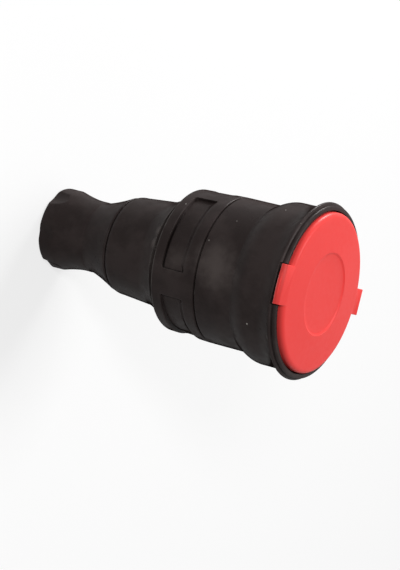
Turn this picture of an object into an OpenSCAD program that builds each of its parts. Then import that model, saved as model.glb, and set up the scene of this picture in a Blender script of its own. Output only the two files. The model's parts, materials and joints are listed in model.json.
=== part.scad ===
// Rubber inline power socket with a hinged lid, for two-pole plugs with side earth contacts.
// It stands on its cable end: the axis is +Z, the lid is on top and its hinge is on the -X side.

/* [Plug side] */
// Radius of the well that takes the plug body
well_r = 20; // [19.75:0.05:20.3]
// Depth of the well from the front face
well_depth = 17.4; // [16.5:0.1:18.5]
// Distance between the two pin sockets
pin_pitch = 19; // [18.6:0.1:19.4]
// Radius of the plug pins
pin_r = 2.4; // [2.3:0.05:2.45]
// How deep the pin sleeves go behind the well floor
sleeve_len = 16.6; // [14:0.1:18]
// Thickness of the wall round the well
cup_wall = 1.5; // [1.3:0.1:1.8]
// Thickness of the well floor over the pin sleeves
floor_t = 3; // [2.5:0.1:3.4]
// Width of the two side guides in the well
guide_w = 4.6; // [4:0.1:5.4]
// How far the side guides stand into the well
guide_h = 2.4; // [1.8:0.1:2.8]

/* [Front sleeve] */
// Rubber thickness at the grip
grip_wall = 3.55; // [3:0.05:4.2]
// Radial step from the grip up to the front band
band_step = 2.45; // [1.5:0.05:3]
// Radial step from the front band up to the rim
rim_step = 2.4; // [1.8:0.1:3]
// Distance from the main seam to the well floor
base_front = 14.1; // [13.8:0.1:15.2]
// Height of the rim lip above the front face
lip_h = 1.5; // [1.4:0.05:1.7]

/* [Rear sleeve] */
// Length from the gland seam to the main seam
rear_len = 40.5; // [39.5:0.5:44]
// Radius of the middle section at the gland seam
mid_r = 17.1; // [16.9:0.1:18]
// Growth of the middle section towards the shoulder
mid_growth = 1.05; // [0.4:0.05:1.5]
// Radius lost by the large section between the main seam and the shoulder
rear_taper = 0.55; // [0.2:0.05:0.8]
// Depth of the four grip pockets
pocket_d = 1.2; // [0.6:0.1:1.5]
// Length of a grip pocket along the axis
pocket_len = 9.2; // [6:0.2:10]
// Width of a grip pocket round the body, in degrees
pocket_angle = 68.5; // [50:0.5:72]

/* [Cable gland] */
// Length of the gland nut
gland_len = 29.4; // [28.6:0.2:31.6]
// Radius of the nut at its waist
waist_r = 12.25; // [12.1:0.05:12.8]
// Radius of the nut at its scalloped collar
collar_r = 14.05; // [13.6:0.05:14.8]
// Number of finger scallops round the collar
scallops = 6; // [4:1:8]
// Depth of a finger scallop
scallop_d = 0.8; // [0.4:0.1:1.1]
// Radius of the cable entry
entry_r = 6.4; // [6:0.1:6.6]
// Wall of the ring that seals the cable
seal_wall = 1.3; // [1:0.1:2]

/* [Lid] */
// How far the lid's edge stays inside the rim
lid_inset = 2.9; // [2.7:0.1:3.1]
// Height of the lid's edge band over the front face
lid_band = 3.3; // [3.1:0.05:3.5]
// Radius of the rounded edge of the lid
lid_round = 1.6; // [1:0.1:1.7]
// Height of the crown from the edge of the lid's face to the ring of its recess
lid_crown = 0.5; // [0.2:0.05:1]
// Radius of the round recess in the lid's face
recess_r = 14; // [12:0.1:18]
// Depth of the recess
recess_d = 0.4; // [0.2:0.05:0.6]
// Width of the hinge block
hinge_w = 13.1; // [12.8:0.1:14]
// Radius of the hinge pin
hinge_pin_r = 0.65; // [0.6:0.05:0.7]
// Width of the finger tab
tab_w = 9; // [7:0.1:10]
// How far the finger tab stands past the rim
tab_reach = 1.2; // [0.8:0.1:2.5]

/* [Fits] */
// Clearance between pieces that are nested and stay still
fit_gap = 0.1; // [0.08:0.01:0.12]
// Width of the visible seams between the sleeves
seam_gap = 0.5; // [0.3:0.05:0.6]
// Radial clearance of the lid round its hinge pin
pin_gap = 0.05; // [0.03:0.01:0.06]

/* [Hidden] */
$fn = 96;
eps = 0.01;

// Radii, from the well outwards
cup_r = well_r + cup_wall;
sleeve_in_r = cup_r + fit_gap;
grip_r = sleeve_in_r + grip_wall;
band_r = grip_r + band_step;
rim_r = band_r + rim_step;
lid_r = rim_r - lid_inset;
lip_r = lid_r + 0.4;
flange_r = lip_r - 0.5;
shoulder_r = grip_r - rear_taper;

// Heights, from the cable end up to the lid
seam_z = gland_len + rear_len;
well_z = seam_z + base_front;
face_z = well_z + well_depth;
lip_z = face_z + lip_h;
flange_t = 1.4;
flange_z = face_z - flange_t;
lid_face_z = face_z + lid_band;
lid_under_z = face_z + 1.5;
lid_foot_z = face_z + 0.35;

// Outline of the front sleeve, measured down from the lip
rim_drop = 2.15;
flare_drop = 8.15;
band_drop = 13.05;
step_drop = 20.65;

// Coupling between the insert and the rear frame
stub_r = cup_r - 1.9;
stub_top_z = seam_z + 3.6;
stub_foot_z = seam_z - 8;
stub_gap = 0.2;
collar_in_r = stub_r + stub_gap;
ring_tube_r = 0.78;
ring_room = 2 * ring_tube_r + 0.04;
frame_top_z = stub_top_z - ring_room;
lock_r = stub_r + 1.3;
lock_h = 2;
lock_z = seam_z - 5.1;
lock_angle = 14;
locks = 3;

// Contacts, their chambers and the terminals
pin_y = pin_pitch / 2;
sleeve_bore_r = pin_r + 0.02;
sleeve_out_r = sleeve_bore_r + 0.78;
pin_hole_r = pin_r + 0.3;
chamber_r = sleeve_out_r + 0.8;
chamber_top_z = well_z - floor_t;
sleeve_top_z = chamber_top_z - 0.4;
block_w = 7.2;
block_top_z = stub_foot_z - 0.2;
block_h = 9;
block_foot_z = block_top_z - block_h;
wire_hole_r = 1.75;
term_z = block_foot_z + block_h / 2;
term_shank_r = 1.55;
term_head_r = 2;
term_head_h = 2.8;

// Earth clip
clip_t = 0.9;
clip_w = 6;
clip_x = stub_r - 2.15;
clip_z = well_z - floor_t - 2.4;
nose_x = clip_x - 1.1;
slot_gap = 0.2;
earth_x = pin_y;

// Terminal cover
cover_r = stub_r - 1.1;
cover_top_z = stub_foot_z - fit_gap;
cover_foot_z = block_foot_z - 1.3;
cover_screw_r = 1.25;
cover_screw_at = stub_r - 3.3;
cover_screw_turn = 135;

// Rear frame and rear sleeve
frame_r = cup_r;
frame_in_r = cover_r + 0.5;
frame_mid_r = mid_r - 2.7;
frame_wall = 2.2;
cone_top_z = seam_z - 16.5;
cone_h = 9;
end_wall = 2.7;
thread_r = waist_r - 1.65;
thread_wall = 1.9;
thread_foot_z = gland_len - 11.8;
seat_z = gland_len - 4.4;
seat_r = thread_r - 3;

// Pockets of the rear sleeve, measured down from the main seam
pocket_drop = 4.1;
pocket_start = 121.5;
pockets = 4;

// Cage and seal in the gland
cage_r = thread_r - thread_wall - fit_gap;
cage_in_r = cage_r - 2;
seal_r = cage_in_r - fit_gap;
seal_bore_r = seal_r - seal_wall;
cage_top_z = seat_z - 0.2;
finger_top_z = thread_foot_z - 0.6;
finger_foot_z = gland_len - 19.8;
finger_slots = 8;
finger_slot_w = 1;

// Hinge: the pin lies along Y, just inside the rim and above its lip
hinge_x = 1.5 - rim_r;
hinge_z = face_z + 1.6;
lug_r = hinge_pin_r + 0.3;
hood_r = lug_r + 0.1;
lug_out = hinge_w / 2 - 1.05;
lug_t = 1.2;
lug_gap = 0.15;
lug_in = lug_out - lug_t;
knuckle_out = lug_in - lug_gap;
spring_room = 2.4;
notch_r = 2.2;
notch_w = hinge_w + 0.6;
ledge_r = rim_r + 0.4;
block_x = -rim_r - 0.1;
ledge_foot_z = hinge_z - 0.95;
ledge_top_z = hinge_z + 0.1;

// Arc of points in a profile, from angle a0 to a1
function arc(x, y, r, a0, a1, n = 6) =
  [for (i = [0:n]) let(a = a0 + (a1 - a0) * i / n) [x + r * cos(a), y + r * sin(a)]];

// Smooth S-shaped change of radius between two heights
function ease(r0, z0, r1, z1, n = 10) =
  [for (i = [0:n]) let(t = i / n) [r0 + (r1 - r0) * (1 - cos(180 * t)) / 2, z0 + (z1 - z0) * t]];

// Flare whose radius grows with a power of the height
function flare(r0, z0, r1, z1, p, n = 8) =
  [for (i = [0:n]) let(t = i / n) [r0 + (r1 - r0) * pow(t, p), z0 + (z1 - z0) * t]];

function unit(v) = v / norm(v);

// Both sides of a bent strip of sheet along a path in the XZ plane
function strip_side(path, d) =
  [for (i = [0:len(path) - 1])
    let(
      a = i == 0 ? path[1] - path[0] : path[i] - path[i - 1],
      b = i == len(path) - 1 ? path[i] - path[i - 1] : path[i + 1] - path[i],
      na = unit([-a[1], a[0]]),
      nb = unit([-b[1], b[0]]),
      m = unit(na + nb)
    ) path[i] + m * d / (m * na)];

function reversed(list) = [for (i = [len(list) - 1:-1:0]) list[i]];

module strip(path, t, w) {
  outline = concat(strip_side(path, t / 2), reversed(strip_side(path, -t / 2)));
  rotate([90, 0, 0])
    translate([0, 0, -w / 2])
      linear_extrude(w)
        polygon(outline);
}

// Round wire along a path, with the coil axis as its reference direction
module wire(path, r, sides, ref) {
  last = len(path) - 1;
  points = [for (i = [0:last])
    let(
      t = unit(path[min(i + 1, last)] - path[max(i - 1, 0)]),
      a = unit(cross(t, ref)),
      b = cross(a, t)
    ) for (k = [0:sides - 1]) path[i] + r * (cos(360 * k / sides) * a + sin(360 * k / sides) * b)];
  walls = [for (i = [0:last - 1]) for (k = [0:sides - 1])
    [i * sides + k, i * sides + (k + 1) % sides, (i + 1) * sides + (k + 1) % sides, (i + 1) * sides + k]];
  ends = [[for (k = [sides - 1:-1:0]) k], [for (k = [0:sides - 1]) last * sides + k]];
  polyhedron(points, concat(walls, ends), convexity = 8);
}

module ring_sector(r0, r1, z0, z1, start, angle) {
  rotate_extrude(angle = angle, start = start)
    translate([r0, z0])
      square([r1 - r0, z1 - z0]);
}

// Cylinder along Y through the hinge pin's axis
module hinge_rod(r, y0, y1) {
  translate([hinge_x, y1, hinge_z])
    rotate([90, 0, 0])
      cylinder(r = r, h = y1 - y0);
}

module both_sides() {
  children();
  mirror([0, 1, 0])
    children();
}

module front_sleeve() {
  foot_z = seam_z + seam_gap / 2;
  edge = 0.45;
  ridge = 0.6;
  bead = 0.8;
  bead_z = well_z + 3;
  outer = concat(
    [[grip_r - edge, foot_z], [grip_r - edge * 0.3, foot_z + edge * 0.3], [grip_r, foot_z + edge]],
    ease(grip_r, lip_z - step_drop, band_r, lip_z - band_drop),
    flare(band_r, lip_z - flare_drop, rim_r - 0.25, lip_z - rim_drop - 0.4, 1.9),
    arc(rim_r - ridge, lip_z - rim_drop, ridge, -20, 60, 4),
    [[rim_r - 0.9, lip_z - rim_drop + 0.72]],
    arc(rim_r - 0.75 - bead, lip_z - bead, bead, 0, 90, 5),
    [[lip_r + 0.4, lip_z], [lip_r, lip_z - 0.4]]
  );
  inner = [
    [lip_r, flange_z], [sleeve_in_r, flange_z], [sleeve_in_r, bead_z + 1.4], [sleeve_in_r - 0.5, bead_z + 0.9],
    [sleeve_in_r - 0.5, bead_z - 0.9], [sleeve_in_r, bead_z - 1.4], [sleeve_in_r, foot_z]
  ];
  color("#262221")
    difference() {
      rotate_extrude()
        polygon(concat(outer, inner));
      hinge_rod(notch_r, -notch_w / 2, notch_w / 2);
      translate([lip_r - 1, -tab_w / 2 - 0.6, face_z + 0.5])
        cube([rim_r, tab_w + 1.2, lip_z]);
    }
}

// Bayonet locks on the outside of the stub
module stub_locks() {
  for (i = [0:locks - 1])
    ring_sector(stub_r - 1, lock_r, lock_z, lock_z + lock_h, i * 360 / locks, lock_angle);
}

module insert_lug() {
  root_x = -flange_r - hinge_x;
  translate([hinge_x, lug_out, hinge_z])
    rotate([90, 0, 0])
      linear_extrude(lug_t)
        union() {
          circle(r = lug_r);
          polygon([
            [0, 0], [lug_r * cos(-45), lug_r * sin(-45)], [root_x + 0.7, flange_z - hinge_z],
            [root_x + 1.7, flange_z - hinge_z], [root_x + 1.7, face_z - hinge_z], [root_x + 1.1, face_z - hinge_z],
            [lug_r * cos(-15), lug_r * sin(-15)]
          ]);
        }
}

module contact_chambers() {
  for (side = [-1, 1])
    translate([0, side * pin_y, 0]) {
      translate([0, 0, stub_foot_z - 1])
        cylinder(r = chamber_r, h = chamber_top_z - stub_foot_z + 1);
      translate([0, 0, chamber_top_z - 1])
        cylinder(r = pin_hole_r, h = floor_t + 2);
      translate([0, 0, well_z - 0.7])
        cylinder(r1 = pin_hole_r, r2 = pin_hole_r + 0.71, h = 0.71);
    }
}

module socket_insert() {
  groove_z = well_z + 3;
  mouth = 0.6;
  guide_top_z = face_z - 1.5;
  channel_top_z = clip_z + clip_t / 2 + slot_gap;
  body = [
    [0, well_z], [well_r, well_z], [well_r, face_z - mouth], [well_r + mouth, face_z], [flange_r, face_z],
    [flange_r, flange_z], [cup_r, flange_z], [cup_r, groove_z + 1.5], [cup_r - 0.6, groove_z + 1],
    [cup_r - 0.6, groove_z - 1], [cup_r, groove_z - 1.5], [cup_r, stub_top_z], [stub_r, stub_top_z],
    [stub_r, stub_foot_z], [0, stub_foot_z]
  ];
  color("#c62f2c")
    difference() {
      union() {
        rotate_extrude()
          polygon(body);
        both_sides()
          translate([-guide_w / 2, well_r - guide_h, well_z - 1])
            cube([guide_w, guide_h + cup_wall / 2, guide_top_z - well_z + 1]);
        stub_locks();
        both_sides()
          insert_lug();
      }
      contact_chambers();
      for (side = [0, 180])
        rotate(side)
          translate([clip_x - clip_t / 2 - slot_gap - 1.2, -clip_w / 2 - slot_gap, channel_top_z - 1])
            cube([clip_t + 2 * slot_gap + 1.2, clip_w + 2 * slot_gap, well_z - channel_top_z + 2]);
      translate([-clip_x - clip_t / 2 - slot_gap, -clip_w / 2 - slot_gap, stub_foot_z - 1])
        cube([2 * clip_x + clip_t + 2 * slot_gap, clip_w + 2 * slot_gap, channel_top_z - stub_foot_z + 1]);
      for (turn = [0, 180])
        rotate(cover_screw_turn + turn)
          translate([cover_screw_at, 0, stub_foot_z - 1])
            cylinder(r = cover_screw_r + 0.02, h = 9);
      hinge_rod(hinge_pin_r + 0.02, -hinge_w, hinge_w);
    }
}

// Split pin sleeve with its terminal block, for the pole on the +Y side
module contact() {
  slot_z = sleeve_top_z - 0.75 * sleeve_len;
  slot_w = 0.8;
  difference() {
    union() {
      translate([0, pin_y, block_top_z - 1])
        cylinder(r = sleeve_out_r, h = sleeve_top_z - block_top_z + 1);
      translate([-block_w / 2, pin_y - block_w / 2, block_foot_z])
        cube([block_w, block_w, block_h]);
    }
    translate([0, pin_y, sleeve_top_z - sleeve_len])
      cylinder(r = sleeve_bore_r, h = sleeve_len + 1);
    translate([-sleeve_out_r - 1, pin_y - slot_w / 2, slot_z])
      cube([2 * sleeve_out_r + 2, slot_w, sleeve_len]);
    translate([0, pin_y, block_foot_z - 1])
      cylinder(r = wire_hole_r, h = block_h - 0.4);
    translate([0, pin_y + block_w, term_z])
      rotate([90, 0, 0])
        cylinder(r = term_shank_r + 0.02, h = block_w);
  }
}

module live_contact() {
  color("#c9a14a")
    contact();
}

module neutral_contact() {
  color("#c9a14a")
    mirror([0, 1, 0])
      contact();
}

// Steel rings that press the split sleeves onto the pins
module contact_springs() {
  ring_in_r = sleeve_out_r + 0.05;
  color("#b9bcc0")
    for (side = [-1, 1])
      translate([0, side * pin_y, sleeve_top_z - 4.6])
        ring_sector(ring_in_r, ring_in_r + 0.45, 0, 3, 20, 320);
}

// One strip of brass: both side contacts and the bridge under the well floor
module earth_clip() {
  side = [
    [clip_x, clip_z], [clip_x, well_z + 2.5], [nose_x + 0.25, well_z + 8.2], [nose_x, well_z + 10],
    [nose_x + 0.35, well_z + 11.6], [clip_x - 0.1, well_z + 14.4]
  ];
  mirrored = [for (p = reversed(side)) [-p[0], p[1]]];
  color("#cfa750")
    strip(concat(mirrored, side), clip_t, clip_w);
}

// Tongue and terminal block of the earth pole
module earth_terminal() {
  color("#cfa750")
    difference() {
      union() {
        translate([earth_x - clip_t / 2, -clip_w / 2, block_top_z - 1])
          cube([clip_t, clip_w, clip_z - clip_t / 2 - fit_gap - block_top_z + 1]);
        translate([earth_x - block_w / 2, -block_w / 2, block_foot_z])
          cube([block_w, block_w, block_h]);
      }
      translate([earth_x, 0, block_foot_z - 1])
        cylinder(r = wire_hole_r, h = block_h - 0.4);
      translate([earth_x, 0, term_z])
        rotate([0, 90, 0])
          cylinder(r = term_shank_r + 0.02, h = block_w);
    }
}

// Places its children at each terminal, with +X along the screw and outwards
module at_terminals() {
  for (turn = [-90, 0, 90])
    rotate(turn)
      translate([pin_y, 0, 0])
        children();
}

module terminal_cover() {
  room = block_w + 0.3;
  color("#2b2b2d")
    difference() {
      translate([0, 0, cover_foot_z])
        cylinder(r = cover_r, h = cover_top_z - cover_foot_z);
      at_terminals() {
        translate([-room / 2, -room / 2, block_foot_z - fit_gap])
          cube([room, room, block_h + 2]);
        translate([0, 0, cover_foot_z - 1])
          cylinder(r1 = wire_hole_r + 1.3, r2 = wire_hole_r + 0.1, h = 2.5);
        translate([0, 0, term_z])
          rotate([0, 90, 0])
            cylinder(r = term_head_r + 0.3, h = cover_r);
      }
      for (turn = [0, 180])
        rotate(cover_screw_turn + turn)
          translate([cover_screw_at, 0, cover_foot_z - 1]) {
            cylinder(r = cover_screw_r + 0.35, h = block_h + 4);
            cylinder(r = 2 * cover_screw_r + 0.3, h = 4);
          }
    }
}

module terminal_screws() {
  slot_w = 0.6;
  color("#b9bcc0")
    at_terminals()
      translate([0, 0, term_z])
        rotate([0, 90, 0])
          difference() {
            union() {
              translate([0, 0, 1])
                cylinder(r = term_shank_r, h = block_w / 2);
              translate([0, 0, block_w / 2 + 0.3])
                cylinder(r = term_head_r, h = term_head_h);
            }
            translate([-slot_w / 2, -term_head_r - 1, block_w / 2 + term_head_h - 0.6])
              cube([slot_w, 2 * term_head_r + 2, 2]);
          }
}

module cover_screws() {
  head_r = 2 * cover_screw_r;
  head_h = 1.8;
  color("#b9bcc0")
    for (turn = [0, 180])
      rotate(cover_screw_turn + turn)
        translate([cover_screw_at, 0, cover_foot_z + 3 - head_h])
          difference() {
            union() {
              cylinder(r = head_r, h = head_h - fit_gap / 2);
              cylinder(r = cover_screw_r, h = cover_top_z - cover_foot_z + 4);
            }
            translate([0, 0, -1])
              cylinder(r = 1.25, h = 2, $fn = 6);
          }
}

// Sealing ring between the insert's shoulder and the rear frame
module coupling_seal() {
  color("#1e1d1d")
    translate([0, 0, stub_top_z - ring_room / 2])
      rotate_extrude()
        translate([(stub_r + sleeve_in_r) / 2, 0])
          circle(r = ring_tube_r);
}

module rear_frame() {
  cone_foot_z = cone_top_z - cone_h;
  wall_z = gland_len + end_wall;
  step_in_z = stub_foot_z - 1.5;
  chamber_in_r = frame_mid_r - frame_wall;
  profile = [
    [thread_r - thread_wall, thread_foot_z], [thread_r - 0.4, thread_foot_z], [thread_r, thread_foot_z + 0.4],
    [thread_r, wall_z], [frame_mid_r, wall_z], [frame_mid_r, cone_foot_z], [frame_r, cone_top_z],
    [frame_r, frame_top_z], [collar_in_r, frame_top_z], [collar_in_r, step_in_z], [frame_in_r, step_in_z],
    [frame_in_r, cone_top_z - 2.2], [chamber_in_r, cone_foot_z - 1.2], [chamber_in_r, wall_z + 2.4],
    [seat_r, wall_z + 0.6], [seat_r, seat_z], [thread_r - thread_wall, seat_z]
  ];
  color("#2b2b2d")
    difference() {
      rotate_extrude()
        polygon(profile);
      for (i = [0:locks - 1]) {
        turn = i * 360 / locks;
        ring_sector(stub_r, lock_r + 0.15, lock_z - 0.1, lock_z + lock_h + 0.1, turn - 2, 2 * lock_angle + 6);
        ring_sector(stub_r, lock_r + 0.15, lock_z, frame_top_z + 1, turn + lock_angle + 2, lock_angle + 2);
      }
    }
}

// Cutter of one grip pocket: bevelled along its edges and chamfered at its corners
module grip_pocket() {
  top_z = seam_z - pocket_drop;
  foot_z = top_z - pocket_len;
  land_r = (shoulder_r + grip_r) / 2;
  floor_r = land_r - pocket_d;
  chamfer = 0.9;
  chamfer_side = chamfer * sqrt(2);
  rear_bevel = 0.8;
  front_bevel = 1.6;
  difference() {
    rotate_extrude(angle = pocket_angle)
      polygon([
        [floor_r, foot_z + rear_bevel], [land_r + pocket_d, foot_z - rear_bevel],
        [land_r + pocket_d, top_z + front_bevel], [floor_r + 0.2, top_z - front_bevel]
      ]);
    for (a = [0, pocket_angle], z = [foot_z, top_z])
      rotate(a)
        translate([land_r, 0, z])
          rotate([45, 0, 0])
            cube([4 * pocket_d, chamfer_side, chamfer_side], center = true);
  }
}

module rear_sleeve() {
  foot_z = gland_len + seam_gap / 2;
  top_z = seam_z - seam_gap / 2;
  cone_foot_z = cone_top_z - cone_h;
  wall_z = gland_len + end_wall - fit_gap;
  edge = 0.45;
  mid_top_z = seam_z - 26;
  brow_z = seam_z - 16.6;
  brow_r = shoulder_r - 0.2;
  foot_round = [for (a = [-90:18:0]) [mid_r - 0.9 + 0.9 * cos(a), foot_z + 2.2 + 2.2 * sin(a)]];
  outer = concat(
    foot_round,
    flare(mid_r + mid_growth, mid_top_z, brow_r, brow_z, 1.75, 10),
    arc(shoulder_r - 1.1, brow_z + 1.1, 1.1, -20, 0, 3),
    [[grip_r, top_z - edge], [grip_r - edge * 0.3, top_z - edge * 0.3], [grip_r - edge, top_z]]
  );
  inner = [
    [sleeve_in_r, top_z], [sleeve_in_r, cone_top_z - 0.05], [frame_mid_r + fit_gap, cone_foot_z - 0.05],
    [frame_mid_r + fit_gap, wall_z], [thread_r + 0.3, wall_z], [thread_r + 0.3, foot_z]
  ];
  color("#262221")
    difference() {
      rotate_extrude()
        polygon(concat(outer, inner));
      for (i = [0:pockets - 1])
        rotate(pocket_start + i * 360 / pockets)
          grip_pocket();
    }
}

// Rubber nut: smooth flared neck, faint parting step, waist and scalloped collar
module gland_nut() {
  top_z = gland_len - seam_gap / 2;
  neck_r = mid_r - 0.75;
  step_z = gland_len - 12.2;
  crest_z = gland_len - 24.2;
  scallop_r = 10;
  scallop_len = 7;
  scallop_tilt = 8;
  outer = concat(
    arc(collar_r - 1.3, 1.3, 1.3, -90, 0, 6),
    [[collar_r, crest_z - 0.9]],
    reversed(flare(waist_r + 0.15, step_z - 2.6, collar_r, crest_z, 1.6, 9)),
    [[waist_r + 0.15, step_z - 0.2], [waist_r, step_z]],
    flare(waist_r, step_z + 0.3, neck_r, top_z - 0.5, 1.3, 10),
    [[neck_r - 0.35, top_z]]
  );
  inner = [
    [thread_r + 0.2, top_z], [thread_r + 0.2, thread_foot_z - 0.8], [cage_r + 0.5, thread_foot_z - 2.4],
    [cage_in_r + 0.75, finger_foot_z - 0.2], [entry_r, finger_foot_z - 0.8], [entry_r, 0]
  ];
  color("#262221")
    difference() {
      rotate_extrude()
        polygon(concat(outer, inner));
      for (i = [0:scallops - 1])
        rotate(pocket_start + 12.5 + i * 360 / scallops)
          translate([collar_r - scallop_d + scallop_r, 0, scallop_len / 2])
            rotate([0, scallop_tilt, 0])
              cylinder(r = scallop_r, h = 2 * scallop_len, center = true);
    }
}

// Lamella cage that grips the seal and the cable when the nut is tightened
module gland_cage() {
  tip_r = cage_in_r + 0.55;
  color("#d8d5cc")
    difference() {
      rotate_extrude()
        polygon([
          [cage_in_r, finger_foot_z], [tip_r, finger_foot_z], [cage_r - 0.35, thread_foot_z - 2.6],
          [cage_r - 0.35, finger_top_z], [cage_r, finger_top_z + 0.6], [cage_r, cage_top_z], [cage_in_r, cage_top_z]
        ]);
      for (i = [0:finger_slots / 2 - 1])
        rotate(i * 360 / finger_slots)
          translate([-cage_r - 1, -finger_slot_w / 2, finger_foot_z - 1])
            cube([2 * cage_r + 2, finger_slot_w, finger_top_z - finger_foot_z]);
    }
}

module gland_seal() {
  foot_z = finger_foot_z + 0.3;
  color("#1e1d1d")
    rotate_extrude()
      polygon([
        [seal_bore_r, foot_z + 0.6], [seal_bore_r + 0.4, foot_z], [seal_r, foot_z], [seal_r, cage_top_z],
        [seal_bore_r + 0.8, cage_top_z], [seal_bore_r, cage_top_z - 1.2]
      ]);
}

module hinge_pin() {
  color("#b9bcc0")
    hinge_rod(hinge_pin_r, 0.35 - hinge_w / 2, hinge_w / 2 - 0.35);
}

// Torsion spring on the pin, with one leg on the insert's flange
module lid_spring() {
  wire_r = 0.2;
  coil_r = hinge_pin_r + wire_r + 0.05;
  turns = 6;
  steps = 16;
  coil_len = 2 * (spring_room - wire_r - 0.1);
  start = 135;
  leg_end = [3.1, coil_len / 2, face_z - hinge_z + wire_r + 0.04];
  last = turns * steps + steps / 2;
  coil = [for (i = [0:last])
    let(a = start + 360 * i / steps) [coil_r * cos(a), -coil_len / 2 + coil_len * i / last, coil_r * sin(a)]];
  color("#b9bcc0")
    translate([hinge_x, 0, hinge_z])
      wire(concat(coil, [leg_end]), wire_r, 8, [0, 1, 0]);
}

module lid_disc() {
  skirt_r = lid_r - 1.5;
  collar_out_r = well_r - 0.7;
  collar_in_lid_r = collar_out_r - 1.6;
  collar_foot_z = face_z - 1.2;
  ring_z = lid_face_z + lid_crown;
  rotate_extrude()
    polygon(concat(
      [[0, ring_z - recess_d], [recess_r - 0.35, ring_z - recess_d], [recess_r, ring_z]],
      arc(lid_r - lid_round, lid_face_z - lid_round, lid_round, 84, 0, 7),
      [[lid_r, lid_foot_z], [skirt_r, lid_foot_z], [skirt_r, lid_under_z]],
      [[collar_out_r, lid_under_z], [collar_out_r, collar_foot_z], [collar_in_lid_r, collar_foot_z]],
      [[collar_in_lid_r, lid_under_z], [0, lid_under_z]]
    ));
}

// Hinge block: sloping hood, steep back and a ledge that follows the rim
module lid_hinge_block() {
  inner_x = lid_round + 0.8 - lid_r;
  hood = [
    [inner_x, lid_face_z + 0.02], [block_x + 0.6, hinge_z + 1.25], [block_x, ledge_top_z],
    [block_x, ledge_foot_z], [hinge_x, ledge_foot_z], [hinge_x, lid_under_z], [inner_x, lid_under_z]
  ];
  translate([0, hinge_w / 2, 0])
    rotate([90, 0, 0])
      linear_extrude(hinge_w)
        polygon(hood);
  intersection() {
    translate([0, 0, ledge_foot_z])
      cylinder(r = ledge_r, h = ledge_top_z - ledge_foot_z);
    translate([-ledge_r - 1, -hinge_w / 2, ledge_foot_z])
      cube([ledge_r + 1 + block_x + 0.5, hinge_w, ledge_top_z - ledge_foot_z]);
  }
  hinge_rod(lug_r + 0.1, -knuckle_out, -spring_room);
  hinge_rod(lug_r + 0.1, spring_room, knuckle_out);
}

// Room for one fixed lug of the insert, kept clear while the lid opens
module lug_room() {
  y1 = lug_out + lug_gap;
  hinge_rod(hood_r, knuckle_out, y1);
  translate([hinge_x, y1, hinge_z])
    rotate([90, 0, 0])
      linear_extrude(y1 - knuckle_out)
        polygon([
          [0, 0], [-0.6, -0.42], [-2.6, -1.49], [-2.6, -4], [4, -4], [4, lid_under_z - hinge_z], [0, lid_under_z - hinge_z]
        ]);
}

module lid_finger_tab() {
  tab_top_z = lid_face_z - 0.5;
  tab_foot_z = tab_top_z - 1.6;
  reach = rim_r + tab_reach;
  translate([0, tab_w / 2, 0])
    rotate([90, 0, 0])
      linear_extrude(tab_w)
        polygon([
          [lid_r - 2, tab_foot_z], [reach - 0.4, tab_foot_z], [reach, tab_foot_z + 0.4], [reach, tab_top_z - 0.25],
          [reach - 0.25, tab_top_z], [reach - 1, tab_top_z], [reach - 1.3, tab_top_z - 0.3], [lid_r - 2, tab_top_z]
        ]);
}

module lid() {
  color("#e8403c")
    difference() {
      union() {
        difference() {
          lid_disc();
          translate([-lid_r - 2, -hinge_w / 2 - 0.3, lid_foot_z - 1])
            cube([3.8, hinge_w + 0.6, lid_under_z - lid_foot_z + 1]);
        }
        lid_hinge_block();
        lid_finger_tab();
      }
      both_sides()
        lug_room();
      hinge_rod(lug_r + 0.25, -spring_room, spring_room);
      translate([hinge_x, -spring_room, hinge_z - 3])
        cube([4, 2 * spring_room, lid_under_z - hinge_z + 3]);
      translate([hinge_x - lug_r - 0.25, -spring_room, ledge_foot_z - 1])
        cube([lug_r + 0.5, 2 * spring_room, hinge_z - ledge_foot_z + 1]);
      hinge_rod(hinge_pin_r + pin_gap, -hinge_w, hinge_w);
    }
}

// Flat sealing ring in the lid
module lid_seal() {
  seal_in_r = well_r + 0.9;
  color("#1e1d1d")
    translate([0, 0, face_z + fit_gap])
      rotate_extrude()
        translate([seal_in_r, 0])
          square([3.6, lid_under_z - face_z - 2 * fit_gap]);
}

front_sleeve();
socket_insert();
live_contact();
neutral_contact();
contact_springs();
earth_clip();
earth_terminal();
terminal_cover();
terminal_screws();
cover_screws();
coupling_seal();
rear_frame();
rear_sleeve();
gland_nut();
gland_cage();
gland_seal();
hinge_pin();
lid_spring();
lid();
lid_seal();
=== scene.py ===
import json
import math

import bmesh
import bpy
from mathutils import Matrix, Vector


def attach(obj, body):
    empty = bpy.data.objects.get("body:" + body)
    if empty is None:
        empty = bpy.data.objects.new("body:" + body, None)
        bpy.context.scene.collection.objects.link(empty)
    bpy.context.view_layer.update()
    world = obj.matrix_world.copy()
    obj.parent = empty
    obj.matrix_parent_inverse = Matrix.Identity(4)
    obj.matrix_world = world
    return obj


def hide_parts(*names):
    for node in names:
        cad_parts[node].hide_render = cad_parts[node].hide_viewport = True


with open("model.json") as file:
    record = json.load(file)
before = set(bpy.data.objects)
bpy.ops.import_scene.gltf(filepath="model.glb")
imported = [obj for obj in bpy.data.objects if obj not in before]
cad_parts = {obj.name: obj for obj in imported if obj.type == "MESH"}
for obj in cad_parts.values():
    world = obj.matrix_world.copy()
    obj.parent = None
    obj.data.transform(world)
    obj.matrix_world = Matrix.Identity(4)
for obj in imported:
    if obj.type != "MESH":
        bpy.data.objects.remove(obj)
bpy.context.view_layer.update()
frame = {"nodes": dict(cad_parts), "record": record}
mm = 0.001


# Camera, floor and light

cameraPlace = {
    "position": (-0.6551, 0.0061, 0.4092),
    "right": (0.461, 0.242, 0.854),
    "back": (-0.882, 0.018, 0.471),
    "lens": 138.95,
}

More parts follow.
